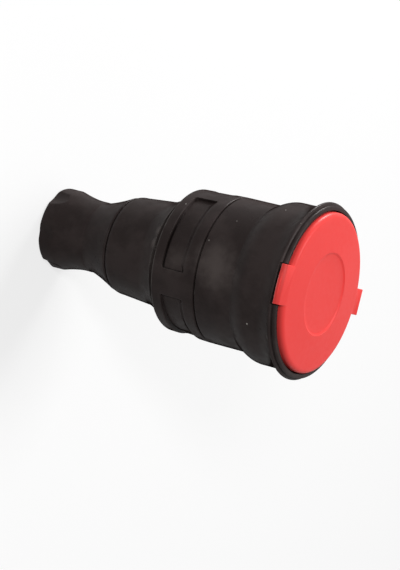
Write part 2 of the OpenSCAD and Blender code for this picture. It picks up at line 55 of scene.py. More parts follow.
studio = {
    "floorSize": 8.0,
    "floorColour": (0.28, 0.28, 0.28),
    "floorGlow": 0.75,
    "worldStrength": 0.15,
    "middle": (0.0, 0.0, 0.052),
    "lamps": [
        # name, right, up and towards the camera in metres, width, height, watts
        ("rimSoftbox", 0.55, 0.8, -0.35, 0.3, 0.2, 8.5),
        ("lidSoftbox", 0.9, 0.1, 0.25, 0.4, 0.4, 5.0),
        ("sideSoftbox", 0.15, 0.15, 0.9, 0.12, 0.2, 3.2),
    ],
}


def cameraAxes():
    back = Vector(cameraPlace["back"]).normalized()
    right = Vector(cameraPlace["right"])
    right = (right - back * right.dot(back)).normalized()
    return right, back.cross(right), back


def makeCamera():
    right, up, back = cameraAxes()
    data = bpy.data.cameras.new("photoCamera")
    data.lens = cameraPlace["lens"]
    data.clip_start = 0.01
    camera = bpy.data.objects.new("photoCamera", data)
    turn = Matrix((right, up, back)).transposed().to_4x4()
    camera.matrix_world = Matrix.Translation(cameraPlace["position"]) @ turn
    bpy.context.scene.collection.objects.link(camera)
    bpy.context.scene.camera = camera


def makeLamps():
    right, up, back = cameraAxes()
    middle = Vector(studio["middle"])
    for name, alongRight, alongUp, alongBack, width, height, power in studio["lamps"]:
        data = bpy.data.lights.new(name, "AREA")
        data.shape = "RECTANGLE"
        data.size = width
        data.size_y = height
        data.energy = power
        lamp = bpy.data.objects.new(name, data)
        spot = middle + right * alongRight + up * alongUp + back * alongBack
        turn = (spot - middle).to_track_quat("Z", "Y").to_matrix().to_4x4()
        lamp.matrix_world = Matrix.Translation(spot) @ turn
        bpy.context.scene.collection.objects.link(lamp)


def seenDirectly(tree):
    rays = tree.nodes.new("ShaderNodeLightPath")
    seen = rays.outputs["Is Camera Ray"]
    for label in ("Is Glossy Ray", "Is Transmission Ray"):
        either = tree.nodes.new("ShaderNodeMath")
        either.operation = "MAXIMUM"
        tree.links.new(seen, either.inputs[0])
        tree.links.new(rays.outputs[label], either.inputs[1])
        seen = either.outputs[0]
    return seen


def makeWorld():
    world = bpy.data.worlds.new("paleStudio")
    bpy.context.scene.world = world
    world.use_nodes = True
    nodes, links = world.node_tree.nodes, world.node_tree.links
    nodes.clear()
    strength = nodes.new("ShaderNodeMapRange")
    strength.inputs["To Min"].default_value = studio["worldStrength"]
    strength.inputs["To Max"].default_value = 1.0
    links.new(seenDirectly(world.node_tree), strength.inputs["Value"])
    background = nodes.new("ShaderNodeBackground")
    background.inputs["Color"].default_value = (1, 1, 1, 1)
    links.new(strength.outputs["Result"], background.inputs["Strength"])
    output = nodes.new("ShaderNodeOutputWorld")
    links.new(background.outputs["Background"], output.inputs["Surface"])


def makeFloor():
    bm = bmesh.new()
    bmesh.ops.create_grid(bm, x_segments=1, y_segments=1, size=studio["floorSize"])
    mesh = bpy.data.meshes.new("paleFloor")
    bm.to_mesh(mesh)
    bm.free()
    floor = bpy.data.objects.new("paleFloor", mesh)
    bpy.context.scene.collection.objects.link(floor)
    material = bpy.data.materials.new("paleFloor")
    material.use_nodes = True
    nodes, links = material.node_tree.nodes, material.node_tree.links
    nodes.clear()
    plain = nodes.new("ShaderNodeBsdfDiffuse")
    plain.inputs["Color"].default_value = (*studio["floorColour"], 1)
    faint = nodes.new("ShaderNodeBsdfDiffuse")
    faint.inputs["Color"].default_value = (1 - studio["floorGlow"],) * 3 + (1,)
    glow = nodes.new("ShaderNodeEmission")
    glow.inputs["Color"].default_value = (1, 1, 1, 1)
    glow.inputs["Strength"].default_value = studio["floorGlow"]
    bright = nodes.new("ShaderNodeAddShader")
    links.new(faint.outputs[0], bright.inputs[0])
    links.new(glow.outputs[0], bright.inputs[1])
    mix = nodes.new("ShaderNodeMixShader")
    links.new(seenDirectly(material.node_tree), mix.inputs[0])
    links.new(plain.outputs[0], mix.inputs[1])
    links.new(bright.outputs[0], mix.inputs[2])
    output = nodes.new("ShaderNodeOutputMaterial")
    links.new(mix.outputs[0], output.inputs["Surface"])
    mesh.materials.append(material)


makeCamera()
makeLamps()
makeWorld()
makeFloor()
bpy.context.scene.view_settings.view_transform = "Standard"
print("stage: camera, lamps, world and floor")


# Shader groups that several finishes share

patterns = {
    # the coarse grain's scale against the fine one's, and what each adds to the height
    "coarseScale": 0.22, "fineHeight": 0.6, "coarseHeight": 0.4,
    "mottleRange": (0.3, 0.7), "cloudRange": (0.36, 0.68),
    # how ragged a speck is in metres, at what scale, and what its random size starts from
    "speckWobble": 0.0004, "wobbleScale": 900.0, "leastSpeck": 0.35,
    "rubAndHighlightBreakup": (0.3, 0.62), "patchRipple": 260.0, "patchFade": (1.05, 0.15),
    "scratchRange": (0.6, 0.72),
}


def newGroup(name, inputs, outputs):
    tree = bpy.data.node_groups.new(name, "ShaderNodeTree")
    for label, kind, value in inputs:
        socket = tree.interface.new_socket(label, in_out="INPUT", socket_type=kind)
        if value is not None:
            socket.default_value = value
    for label, kind in outputs:
        tree.interface.new_socket(label, in_out="OUTPUT", socket_type=kind)
    return tree, tree.nodes.new("NodeGroupInput"), tree.nodes.new("NodeGroupOutput")


def addNode(tree, kind, settings=None, values=None):
    node = tree.nodes.new(kind)
    for key, value in (settings or {}).items():
        setattr(node, key, value)
    for key, value in (values or {}).items():
        node.inputs[key].default_value = value
    return node


def mathNode(tree, operation, first, second):
    node = addNode(tree, "ShaderNodeMath", {"operation": operation})
    for index, value in enumerate((first, second)):
        if isinstance(value, (int, float)):
            node.inputs[index].default_value = value
        else:
            tree.links.new(value, node.inputs[index])
    return node.outputs[0]


def noiseNode(tree, vector, scale, detail=2.0, roughness=0.5):
    node = addNode(tree, "ShaderNodeTexNoise", values={"Detail": detail, "Roughness": roughness})
    tree.links.new(vector, node.inputs["Vector"])
    if isinstance(scale, (int, float)):
        node.inputs["Scale"].default_value = scale
    else:
        tree.links.new(scale, node.inputs["Scale"])
    return node.outputs[0]


def rangeNode(tree, value, low, high, toLow=0.0, toHigh=1.0):
    node = addNode(tree, "ShaderNodeMapRange", {"interpolation_type": "SMOOTHSTEP"})
    tree.links.new(value, node.inputs["Value"])
    entries = {"From Min": low, "From Max": high, "To Min": toLow, "To Max": toHigh}
    for label, entry in entries.items():
        if isinstance(entry, (int, float)):
            node.inputs[label].default_value = entry
        else:
            tree.links.new(entry, node.inputs[label])
    return node.outputs["Result"]


def mixColour(tree, factor, first, second):
    node = addNode(tree, "ShaderNodeMix", {"data_type": "RGBA"})
    if isinstance(factor, (int, float)):
        node.inputs[0].default_value = factor
    else:
        tree.links.new(factor, node.inputs[0])
    for index, value in ((6, first), (7, second)):
        if isinstance(value, tuple):
            node.inputs[index].default_value = (*value, 1)
        else:
            tree.links.new(value, node.inputs[index])
    return node.outputs[2]


def makeMouldGrain():
    tree, start, end = newGroup(
        "mouldGrain",
        [("Vector", "NodeSocketVector", None), ("Grain Scale", "NodeSocketFloat", 1800.0),
         ("Cloud Scale", "NodeSocketFloat", 90.0)],
        [("Height", "NodeSocketFloat"), ("Mottle", "NodeSocketFloat"), ("Cloud", "NodeSocketFloat")],
    )
    fine = noiseNode(tree, start.outputs["Vector"], start.outputs["Grain Scale"], 3.0, 0.6)
    coarseScale = mathNode(tree, "MULTIPLY", start.outputs["Grain Scale"], patterns["coarseScale"])
    coarse = noiseNode(tree, start.outputs["Vector"], coarseScale)
    cloud = noiseNode(tree, start.outputs["Vector"], start.outputs["Cloud Scale"], 4.0, 0.6)
    fineHeight = mathNode(tree, "MULTIPLY", fine, patterns["fineHeight"])
    coarseHeight = mathNode(tree, "MULTIPLY", coarse, patterns["coarseHeight"])
    tree.links.new(mathNode(tree, "ADD", fineHeight, coarseHeight), end.inputs["Height"])
    tree.links.new(rangeNode(tree, coarse, *patterns["mottleRange"]), end.inputs["Mottle"])
    tree.links.new(rangeNode(tree, cloud, *patterns["cloudRange"]), end.inputs["Cloud"])
    return tree


def makeDustSpecks():
    tree, start, end = newGroup(
        "dustSpecks",
        [("Vector", "NodeSocketVector", None), ("Spacing Scale", "NodeSocketFloat", 160.0),
         ("Speck Radius", "NodeSocketFloat", 0.03), ("Share", "NodeSocketFloat", 0.12)],
        [("Mask", "NodeSocketFloat")],
    )
    bend = addNode(tree, "ShaderNodeVectorMath", {"operation": "MULTIPLY_ADD"})
    wobble = addNode(tree, "ShaderNodeTexNoise", values={"Scale": patterns["wobbleScale"], "Detail": 1.0})
    tree.links.new(start.outputs["Vector"], wobble.inputs["Vector"])
    tree.links.new(wobble.outputs["Color"], bend.inputs[0])
    bend.inputs[1].default_value = (patterns["speckWobble"],) * 3
    tree.links.new(start.outputs["Vector"], bend.inputs[2])
    cells = addNode(tree, "ShaderNodeTexVoronoi")
    tree.links.new(bend.outputs[0], cells.inputs["Vector"])
    tree.links.new(start.outputs["Spacing Scale"], cells.inputs["Scale"])
    channels = addNode(tree, "ShaderNodeSeparateColor")
    tree.links.new(cells.outputs["Color"], channels.inputs[0])
    chosen = mathNode(tree, "LESS_THAN", channels.outputs[0], start.outputs["Share"])
    share = mathNode(tree, "ADD", channels.outputs[1], patterns["leastSpeck"])
    size = mathNode(tree, "MULTIPLY", share, start.outputs["Speck Radius"])
    inside = mathNode(tree, "LESS_THAN", cells.outputs["Distance"], size)
    tree.links.new(mathNode(tree, "MULTIPLY", chosen, inside), end.inputs["Mask"])
    return tree


def makeEdgeRubAndHighlight():
    tree, start, end = newGroup(
        "edgeRubAndHighlight",
        [("Vector", "NodeSocketVector", None), ("Start", "NodeSocketFloat", 0.53),
         ("Full", "NodeSocketFloat", 0.6), ("Breakup Scale", "NodeSocketFloat", 400.0)],
        [("Mask", "NodeSocketFloat"), ("Crevice", "NodeSocketFloat")],
    )
    # the pieces carry these two attributes where a highlight and a shade are painted on them
    paintedHighlight = addNode(tree, "ShaderNodeAttribute", {"attribute_name": "paintedHighlight"})
    paintedShade = addNode(tree, "ShaderNodeAttribute", {"attribute_name": "paintedShade"})
    tree.links.new(paintedShade.outputs["Fac"], end.inputs["Crevice"])
    geometry = addNode(tree, "ShaderNodeNewGeometry")
    # pale sharp edges, partly wear and partly painted highlight, and the painted highlight from the
    # attribute
    edge = rangeNode(tree, geometry.outputs["Pointiness"], start.outputs["Start"], start.outputs["Full"])
    edge = mathNode(tree, "MAXIMUM", edge, paintedHighlight.outputs["Fac"])
    noise = noiseNode(tree, start.outputs["Vector"], start.outputs["Breakup Scale"], 3.0)
    breakup = rangeNode(tree, noise, *patterns["rubAndHighlightBreakup"])
    tree.links.new(mathNode(tree, "MULTIPLY", edge, breakup), end.inputs["Mask"])
    return tree


def makeHighlightAndGrainPatch():
    tree, start, end = newGroup(
        "highlightAndGrainPatch",
        [("Vector", "NodeSocketVector", None), ("Centre", "NodeSocketVector", (0, 0, 0)),
         ("Radius", "NodeSocketFloat", 0.008), ("Ragged", "NodeSocketFloat", 1.0)],
        [("Mask", "NodeSocketFloat")],
    )
    away = addNode(tree, "ShaderNodeVectorMath", {"operation": "DISTANCE"})
    tree.links.new(start.outputs["Vector"], away.inputs[0])
    tree.links.new(start.outputs["Centre"], away.inputs[1])
    share = mathNode(tree, "DIVIDE", away.outputs["Value"], start.outputs["Radius"])
    noise = noiseNode(tree, start.outputs["Vector"], patterns["patchRipple"], 3.0)
    ripple = mathNode(tree, "SUBTRACT", noise, 0.5)
    share = mathNode(tree, "ADD", share, mathNode(tree, "MULTIPLY", ripple, start.outputs["Ragged"]))
    tree.links.new(rangeNode(tree, share, *patterns["patchFade"]), end.inputs["Mask"])
    return tree


def makeFineScratches():
    tree, start, end = newGroup(
        "fineScratches",
        [("Vector", "NodeSocketVector", None), ("Direction", "NodeSocketVector", (0, 0, 0)),
         ("Stretch", "NodeSocketFloat", 40.0), ("Scale", "NodeSocketFloat", 90.0)],
        [("Mask", "NodeSocketFloat")],
    )
    turn = addNode(tree, "ShaderNodeMapping")
    tree.links.new(start.outputs["Vector"], turn.inputs["Vector"])
    tree.links.new(start.outputs["Direction"], turn.inputs["Rotation"])
    stretch = addNode(tree, "ShaderNodeCombineXYZ", values={"X": 1.0, "Z": 1.0})
    tree.links.new(start.outputs["Stretch"], stretch.inputs["Y"])
    tree.links.new(stretch.outputs[0], turn.inputs["Scale"])
    lines = noiseNode(tree, turn.outputs[0], start.outputs["Scale"], 4.0, 0.7)
    tree.links.new(rangeNode(tree, lines, *patterns["scratchRange"]), end.inputs["Mask"])
    return tree


mouldGrain = makeMouldGrain()
dustSpecks = makeDustSpecks()
edgeRubAndHighlight = makeEdgeRubAndHighlight()
highlightAndGrainPatch = makeHighlightAndGrainPatch()
fineScratches = makeFineScratches()
print("stage: shader groups")


# Finishes

# what a moulded finish has where its own dictionary doesn't say otherwise
mouldedDefaults = {
    "rubAndHighlightRange": (0.53, 0.6), "creviceShade": 0.4, "highlightPatches": [], "grains": [], "grainRagged": 0.3,
    # specular level seen straight on and at a glance, and the facing values between which it falls
    "specular": (0.3, 0.2), "facingRange": (0.3, 0.87),
}
rubberFinish = {
    "colour": (0.0285, 0.0205, 0.0195), "bloom": (0.052, 0.04, 0.0385), "bloomAmount": 0.7,
    # its pale edge colour is partly wear and partly painted highlight
    "dust": (0.55, 0.52, 0.48), "dustShare": 0.05, "rubAndHighlightColour": (0.1, 0.088, 0.082),
    "specular": (0.07, 0.0), "roughness": (0.27, 0.46), "grainScale": 1500.0, "grainDepth": 0.000012,
    # colour of the painted highlight patches, and how dark the painted shade in the pockets is
    "creviceShade": 0.8, "highlightPatchColour": (0.115, 0.095, 0.089),
    # place and radius of single dust grains in millimetres
    "grains": [
        (-14.3, 23.6, 91.0, 0.25), (-17.3, 24.2, 102.4, 0.25), (-19.1, 16.3, 77.1, 0.2),
        (-23.1, -15.1, 91.7, 0.4), (-16.9, 17.9, 55.9, 0.28), (-23.8, 8.1, 71.3, 0.22),
        (-21.9, 20.4, 101.2, 0.2),
    ],
    # painted highlight patches: angle round the body, distance from the axis, height and radius in
    # millimetres, strength
    "highlightPatches": [
        (176, 25, 76, 9, 0.5), (184, 25, 79, 8.5, 0.4), (182, 24, 62, 6, 0.35),
        (172, 20.6, 49.9, 2.4, 0.8), (159, 20.6, 49.9, 2.6, 0.7), (62, 25, 78, 9, 0.5),
        (305, 25, 75, 8, 0.5), (20, 18, 38, 7, 0.4),
    ],
}
sealFinish = {
    "colour": (0.014, 0.014, 0.014), "bloom": (0.03, 0.03, 0.03), "bloomAmount": 0.3,
    "dust": (0.4, 0.4, 0.38), "dustShare": 0.01, "rubAndHighlightColour": (0.04, 0.04, 0.04),
    "roughness": (0.35, 0.5), "grainScale": 2500.0, "grainDepth": 0.00001,
}
innerFinish = {
    "colour": (0.026, 0.026, 0.028), "bloom": (0.045, 0.045, 0.047), "bloomAmount": 0.3,
    "dust": (0.4, 0.4, 0.4), "dustShare": 0.01, "rubAndHighlightColour": (0.1, 0.1, 0.1),
    "roughness": (0.38, 0.5), "grainScale": 2200.0, "grainDepth": 0.00002,
}
cageFinish = {
    "colour": (0.68, 0.66, 0.6), "bloom": (0.6, 0.57, 0.5), "bloomAmount": 0.4,
    "dust": (0.4, 0.38, 0.33), "dustShare": 0.01, "rubAndHighlightColour": (0.75, 0.74, 0.7),
    "roughness": (0.35, 0.48), "grainScale": 2200.0, "grainDepth": 0.00002,
}
lidFinish = {
    "colour": (0.87, 0.06, 0.055), "bloom": (0.84, 0.072, 0.066), "bloomAmount": 0.35,
    # its pale edge colour is a painted highlight on the sharpest edges and along the ledge's lower edge
    "dust": (0.95, 0.85, 0.8), "dustShare": 0.01, "rubAndHighlightColour": (0.88, 0.3, 0.28),
    "rubAndHighlightRange": (0.68, 0.8), "specular": (0.13, 0.05), "roughness": (0.34, 0.46),
    "grainScale": 2600.0, "grainDepth": 0.000012,
}
insertFinish = {
    "colour": (0.6, 0.042, 0.036), "bloom": (0.5, 0.035, 0.03), "bloomAmount": 0.15,
    "dust": (0.8, 0.6, 0.55), "dustShare": 0.01, "rubAndHighlightColour": (0.64, 0.06, 0.05),
    "specular": (0.16, 0.1), "roughness": (0.36, 0.42), "grainScale": 2600.0, "grainDepth": 0.000012,
}
brassFinish = {
    "colour": (0.72, 0.5, 0.2), "tarnish": (0.42, 0.25, 0.09), "roughness": (0.22, 0.4),
    "direction": (0.0, 0.0, 0.0), "grainScale": 1400.0, "cloudScale": 220.0, "scratchDepth": 0.000008,
}
steelFinish = {
    "colour": (0.62, 0.63, 0.65), "tarnish": (0.42, 0.42, 0.4), "roughness": (0.25, 0.42),
    "direction": (0.0, 0.0, 1.57), "grainScale": 1400.0, "cloudScale": 220.0, "scratchDepth": 0.000006,
}


def groupNode(tree, group, vector, **values):
    node = tree.nodes.new("ShaderNodeGroup")
    node.node_tree = group
    tree.links.new(vector, node.inputs["Vector"])
    for label, value in values.items():
        node.inputs[label.replace("_", " ")].default_value = value
    return node


def startMaterial(name):
    material = bpy.data.materials.new(name)
    material.use_nodes = True
    tree = material.node_tree
    tree.nodes.clear()
    surface = tree.nodes.new("ShaderNodeBsdfPrincipled")
    output = tree.nodes.new("ShaderNodeOutputMaterial")
    tree.links.new(surface.outputs[0], output.inputs["Surface"])
    place = tree.nodes.new("ShaderNodeTexCoord")
    return material, tree, surface, place.outputs["Object"]


def addBump(tree, surface, height, distance):
    bump = addNode(tree, "ShaderNodeBump", values={"Strength": 1.0, "Distance": distance})
    tree.links.new(height, bump.inputs["Height"])
    tree.links.new(bump.outputs[0], surface.inputs["Normal"])


def mouldedMaterial(name, ownFinish):
    finish = {**mouldedDefaults, **ownFinish}
    material, tree, surface, place = startMaterial(name)
    grain = groupNode(tree, mouldGrain, place, Grain_Scale=finish["grainScale"])
    specks = groupNode(tree, dustSpecks, place, Share=finish["dustShare"])
    rubAndHighlightStart, rubAndHighlightFull = finish["rubAndHighlightRange"]
    rubAndHighlight = groupNode(tree, edgeRubAndHighlight, place, Start=rubAndHighlightStart, Full=rubAndHighlightFull)
    bloom = mathNode(tree, "MULTIPLY", grain.outputs["Cloud"], finish["bloomAmount"])
    colour = mixColour(tree, bloom, finish["colour"], finish["bloom"])
    # patches of painted highlight
    for angle, reach, height, radius, strength in finish["highlightPatches"]:
        turn = math.radians(angle)
        centre = (reach * mm * math.cos(turn), reach * mm * math.sin(turn), height * mm)
        patch = groupNode(tree, highlightAndGrainPatch, place, Centre=centre, Radius=radius * mm)
        mask = mathNode(tree, "MULTIPLY", patch.outputs["Mask"], strength)
        colour = mixColour(tree, mask, colour, finish["highlightPatchColour"])
    # pale edges: partly rubbed wear, partly painted highlight
    colour = mixColour(tree, rubAndHighlight.outputs["Mask"], colour, finish["rubAndHighlightColour"])
    # painted shade from the attribute, mixed towards black
    shade = mathNode(tree, "MULTIPLY", rubAndHighlight.outputs["Crevice"], finish["creviceShade"])
    colour = mixColour(tree, shade, colour, (0.0, 0.0, 0.0))
    colour = mixColour(tree, specks.outputs["Mask"], colour, finish["dust"])
    for x, y, z, radius in finish["grains"]:
        centre = (x * mm, y * mm, z * mm)
        speck = groupNode(
            tree, highlightAndGrainPatch, place, Centre=centre, Radius=radius * mm, Ragged=finish["grainRagged"])
        colour = mixColour(tree, speck.outputs["Mask"], colour, finish["dust"])
    tree.links.new(colour, surface.inputs["Base Color"])
    unevenness = mathNode(tree, "ADD", grain.outputs["Cloud"], grain.outputs["Mottle"])
    unevenness = mathNode(tree, "MULTIPLY", unevenness, 0.5)
    roughness = rangeNode(tree, unevenness, 0.0, 1.0, *finish["roughness"])
    tree.links.new(roughness, surface.inputs["Roughness"])
    facing = addNode(tree, "ShaderNodeLayerWeight", values={"Blend": 0.5}).outputs["Facing"]
    specular = rangeNode(tree, facing, *finish["facingRange"], *finish["specular"])
    tree.links.new(specular, surface.inputs["Specular IOR Level"])
    addBump(tree, surface, grain.outputs["Height"], finish["grainDepth"])
    return material


def metalMaterial(name, finish):
    material, tree, surface, place = startMaterial(name)
    grain = groupNode(
        tree, mouldGrain, place, Grain_Scale=finish["grainScale"], Cloud_Scale=finish["cloudScale"])
    lines = groupNode(tree, fineScratches, place, Direction=finish["direction"])
    colour = mixColour(tree, grain.outputs["Cloud"], finish["colour"], finish["tarnish"])
    tree.links.new(colour, surface.inputs["Base Color"])
    surface.inputs["Metallic"].default_value = 1.0
    unevenness = mathNode(tree, "MAXIMUM", grain.outputs["Mottle"], lines.outputs["Mask"])
    roughness = rangeNode(tree, unevenness, 0.0, 1.0, *finish["roughness"])
    tree.links.new(roughness, surface.inputs["Roughness"])
    addBump(tree, surface, lines.outputs["Mask"], finish["scratchDepth"])
    return material


finishes = {
    "rubber": mouldedMaterial("sleeveRubber", rubberFinish),
    "seal_rubber": mouldedMaterial("sealRubber", sealFinish),
    "lid_plastic": mouldedMaterial("lidPlastic", lidFinish),
    "insert_plastic": mouldedMaterial("insertPlastic", insertFinish),
    "inner_plastic": mouldedMaterial("innerPlastic", innerFinish),
    "cage_plastic": mouldedMaterial("cagePlastic", cageFinish),
    "contact_brass": metalMaterial("contactBrass", brassFinish),
    "steel": metalMaterial("zincSteel", steelFinish),
}
for subpart in frame["record"]["subparts"]:
    for slot in frame["nodes"][subpart["node"]].material_slots:
        slot.material = finishes[subpart["material_slot"]]
print("stage: finishes on the packed parts")


# Profiles and turned pieces

pointGap = 0.01 * mm  # points of a profile that lie closer are left out
mergeGap = 0.002 * mm


def ellipsePoints(r, z, halfWidth, halfHeight, fromAngle, toAngle, count):
    angles = [math.radians(fromAngle + (toAngle - fromAngle) * i / count) for i in range(count + 1)]
    return [(r + halfWidth * math.cos(a), z + halfHeight * math.sin(a)) for a in angles]


def arcPoints(r, z, radius, fromAngle, toAngle, count):
    return ellipsePoints(r, z, radius, radius, fromAngle, toAngle, count)


def easePoints(r0, z0, r1, z1, count):
    steps = [i / count for i in range(count + 1)]
    return [(r0 + (r1 - r0) * (1 - math.cos(math.pi * t)) / 2, z0 + (z1 - z0) * t) for t in steps]


def swellPoints(r0, z0, r1, z1, count):
    steps = [i / count for i in range(count + 1)]
    return [(r0 + (r1 - r0) * math.sin(math.pi / 2 * t), z0 + (z1 - z0) * t) for t in steps]


def flarePoints(r0, z0, r1, z1, power, count):
    steps = [i / count for i in range(count + 1)]
    return [(r0 + (r1 - r0) * t ** power, z0 + (z1 - z0) * t) for t in steps]


def linePoints(r0, z0, r1, z1, count):
    return [(r0 + (r1 - r0) * i / count, z0 + (z1 - z0) * i / count) for i in range(count + 1)]


def filletPoints(before, corner, after, radius, count):
    corner = Vector(corner)
    toBefore = (Vector(before) - corner).normalized()
    toAfter = (Vector(after) - corner).normalized()
    half = toBefore.angle(toAfter) / 2
    middle = corner + (toBefore + toAfter).normalized() * radius / math.sin(half)
    start = corner + toBefore * radius / math.tan(half)
    end = corner + toAfter * radius / math.tan(half)
    points = []
    for i in range(count + 1):
        share = start.lerp(end, i / count) - middle
        points.append(tuple(middle + share.normalized() * radius))
    return points


def turnProfile(points, steps, closed=True):
    bm = bmesh.new()
    ring = []
    for r, z in points:
        spot = Vector((r * mm, 0, z * mm))
        if not ring or (ring[-1].co - spot).length > pointGap:
            ring.append(bm.verts.new(spot))
    nextOnes = ring[1:] + ring[:1] if closed else ring[1:]
    edges = [bm.edges.new(pair) for pair in zip(ring, nextOnes)]
    bmesh.ops.spin(
        bm, geom=ring + edges, cent=(0, 0, 0), axis=(0, 0, 1), dvec=(0, 0, 0),
        angle=2 * math.pi, steps=steps, use_merge=True, use_duplicate=False,
    )
    bmesh.ops.remove_doubles(bm, verts=bm.verts[:], dist=mergeGap)
    bmesh.ops.recalc_face_normals(bm, faces=bm.faces[:])
    return bm


def finishPiece(name, bm, slot, body, replaced, sharpAngle=40):
    mesh = bpy.data.meshes.new(name)
    bm.to_mesh(mesh)
    bm.free()
    for polygon in mesh.polygons:
        polygon.use_smooth = True
    mesh.set_sharp_from_angle(angle=math.radians(sharpAngle))
    mesh.materials.append(finishes[slot])
    piece = bpy.data.objects.new(name, mesh)
    bpy.context.scene.collection.objects.link(piece)
    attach(piece, body)
    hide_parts(*replaced)


def plainBox(low, high):
    bm = bmesh.new()
    bmesh.ops.create_cube(bm, size=1.0)
    size = [(b - a) * mm for a, b in zip(low, high)]
    centre = Vector([(a + b) / 2 * mm for a, b in zip(low, high)])
    bmesh.ops.scale(bm, vec=size, verts=bm.verts[:])
    bmesh.ops.translate(bm, vec=centre, verts=bm.verts[:])
    return bm


def rodAlongY(x, z, radius, fromY, toY):
    bm = bmesh.new()
    bmesh.ops.create_cone(
        bm, cap_ends=True, segments=64, radius1=radius * mm, radius2=radius * mm,
        depth=abs(toY - fromY) * mm)
    quarterTurn = Matrix.Rotation(math.pi / 2, 3, "X")
    bmesh.ops.rotate(bm, cent=(0, 0, 0), matrix=quarterTurn, verts=bm.verts[:])
    bmesh.ops.translate(bm, vec=(x * mm, (fromY + toY) / 2 * mm, z * mm), verts=bm.verts[:])
    return bm


def prismAlongY(points, fromY, toY):
    bm = bmesh.new()
    outline = [bm.verts.new((x * mm, fromY * mm, z * mm)) for x, z in points]
    side = bmesh.ops.extrude_face_region(bm, geom=[bm.faces.new(outline)])
    moved = [item for item in side["geom"] if isinstance(item, bmesh.types.BMVert)]
    bmesh.ops.translate(bm, vec=(0, (toY - fromY) * mm, 0), verts=moved)
    bmesh.ops.recalc_face_normals(bm, faces=bm.faces[:])
    return bm


def roundEdges(bm, width, segments=3, sharperThan=25):
    least = math.radians(sharperThan)
    edges = [e for e in bm.edges if len(e.link_faces) == 2 and e.calc_face_angle() > least]
    bmesh.ops.bevel(
        bm, geom=edges, offset=width * mm, offset_type="OFFSET", segments=segments, profile=0.5,
        affect="EDGES", material=-1, clamp_overlap=True)
    return bm


def meshHelper(bm, name):
    mesh = bpy.data.meshes.new(name)
    bm.to_mesh(mesh)
    bm.free()
    helper = bpy.data.objects.new(name, mesh)
    bpy.context.scene.collection.objects.link(helper)
    return helper


def cleanCarved(bm):
    # the solver can leave slivers, a small face out, loose edges, or a point in the middle of an edge
    bmesh.ops.remove_doubles(bm, verts=bm.verts[:], dist=mergeGap)
    bmesh.ops.dissolve_degenerate(bm, dist=mergeGap, edges=bm.edges[:])
    bmesh.ops.holes_fill(bm, edges=[edge for edge in bm.edges if edge.is_boundary], sides=4)
    bmesh.ops.delete(bm, geom=[edge for edge in bm.edges if edge.is_wire], context="EDGES")
    bmesh.ops.delete(bm, geom=[vertex for vertex in bm.verts if not vertex.link_edges], context="VERTS")
    midPoints = []
    for vertex in bm.verts:
        if len(vertex.link_edges) == 2:
            before, after = [edge.other_vert(vertex).co for edge in vertex.link_edges]
            if (vertex.co - before).cross((after - before).normalized()).length < mergeGap:
                midPoints.append(vertex)
    bmesh.ops.dissolve_verts(bm, verts=midPoints)


def carve(bm, steps):
    body = meshHelper(bm, "carved")
    helpers = [body]
    for operation, tool in steps:
        helpers.append(meshHelper(tool, "carvingTool"))
        step = body.modifiers.new("carve", "BOOLEAN")
        step.operation = operation
        step.solver = "EXACT"
        step.object = helpers[-1]
    bpy.context.view_layer.update()
    out = bmesh.new()
    out.from_mesh(body.evaluated_get(bpy.context.evaluated_depsgraph_get()).to_mesh())
    for helper in helpers:
        mesh = helper.data
        bpy.data.objects.remove(helper)
        bpy.data.meshes.remove(mesh)
    cleanCarved(out)
    return out


# Front sleeve: grip, band, flared rim with its ridge and lip

frontSleeve = {
    "foot": 70.15, "lip": 102.9, "gripRadius": 25.15, "bandRadius": 27.6, "rimRadius": 30.0,
    "insideRadius": 21.6, "lipInside": 27.5, "flangeTop": 100.0, "footEdge": 0.45, "mouthEdge": 0.35,
    "swellStart": 83.7, "swellEnd": 90.3,
    # depths below the lip and insets from the rim's radius
    "bandTop": 8.6, "flareFoot": 8.15, "flareTop": 2.55, "flareInset": 0.25, "flarePower": 1.9,
    "ridge": 0.6, "ridgeDepth": 2.15, "groove": 0.12, "grooveDepth": 1.35, "grooveInset": 0.82,
    "bead": 0.8, "beadInset": 0.75,
    "hinge": (-28.5, 103.0), "notchRadius": 2.2, "notchHalfWidth": 6.85,
    "tabHalfWidth": 5.1, "tabGapFoot": 101.9, "steps": 288,
}


